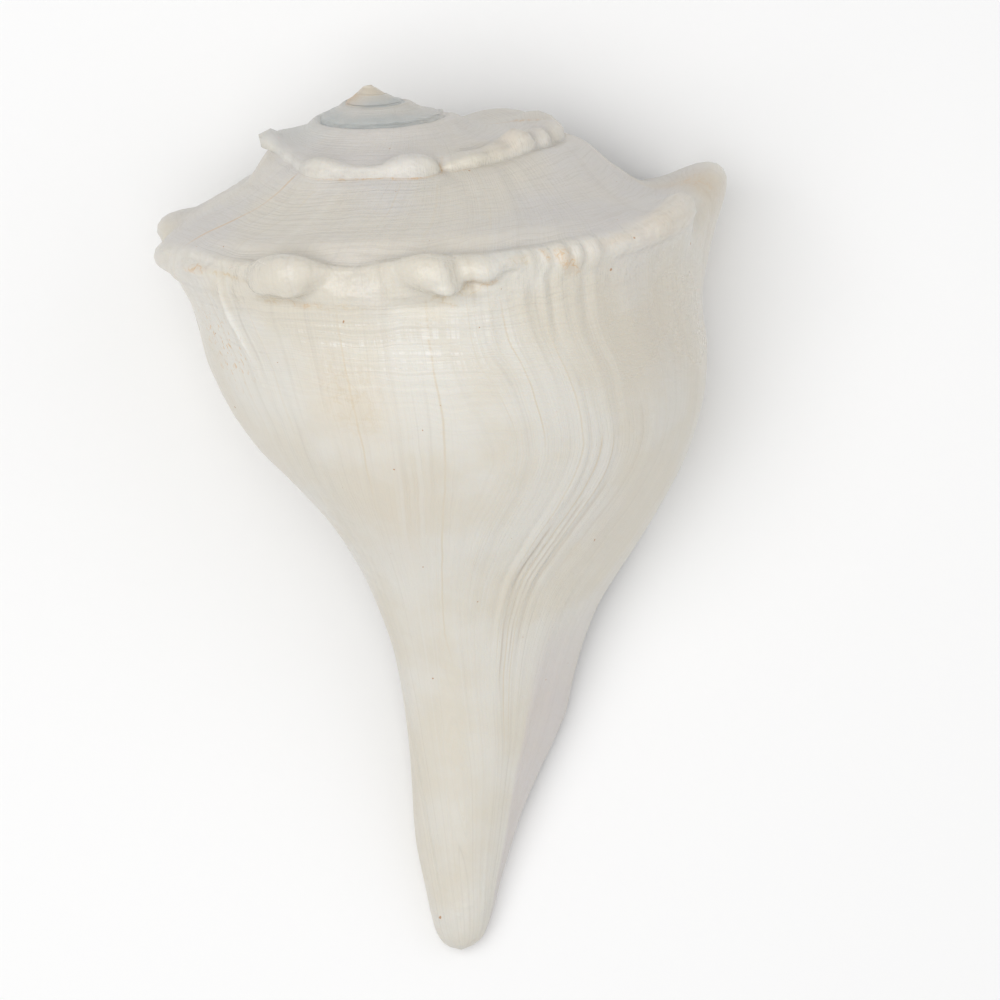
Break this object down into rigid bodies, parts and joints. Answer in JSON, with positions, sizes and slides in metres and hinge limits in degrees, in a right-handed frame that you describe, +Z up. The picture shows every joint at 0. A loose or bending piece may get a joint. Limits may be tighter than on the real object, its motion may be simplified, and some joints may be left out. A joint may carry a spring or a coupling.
{
  "type": "whelk shell",
  "caption": "Large left-handed whelk sea shell with a low knobbed spire and a long tapering canal, lying with its opening underneath.",
  "frame": {"origin": "centre of the bounding box's bottom face, on the surface the shell lies on", "axes": "+Z up, +Y from the canal's end towards the spire, +X towards the growing lip's side"},
  "size_m": [0.1126, 0.168, 0.088],
  "materials": {
    "shell": "satin"
  },
  "bodies": {
    "root": {"shell": "shell"}
  },
  "joints": []
}
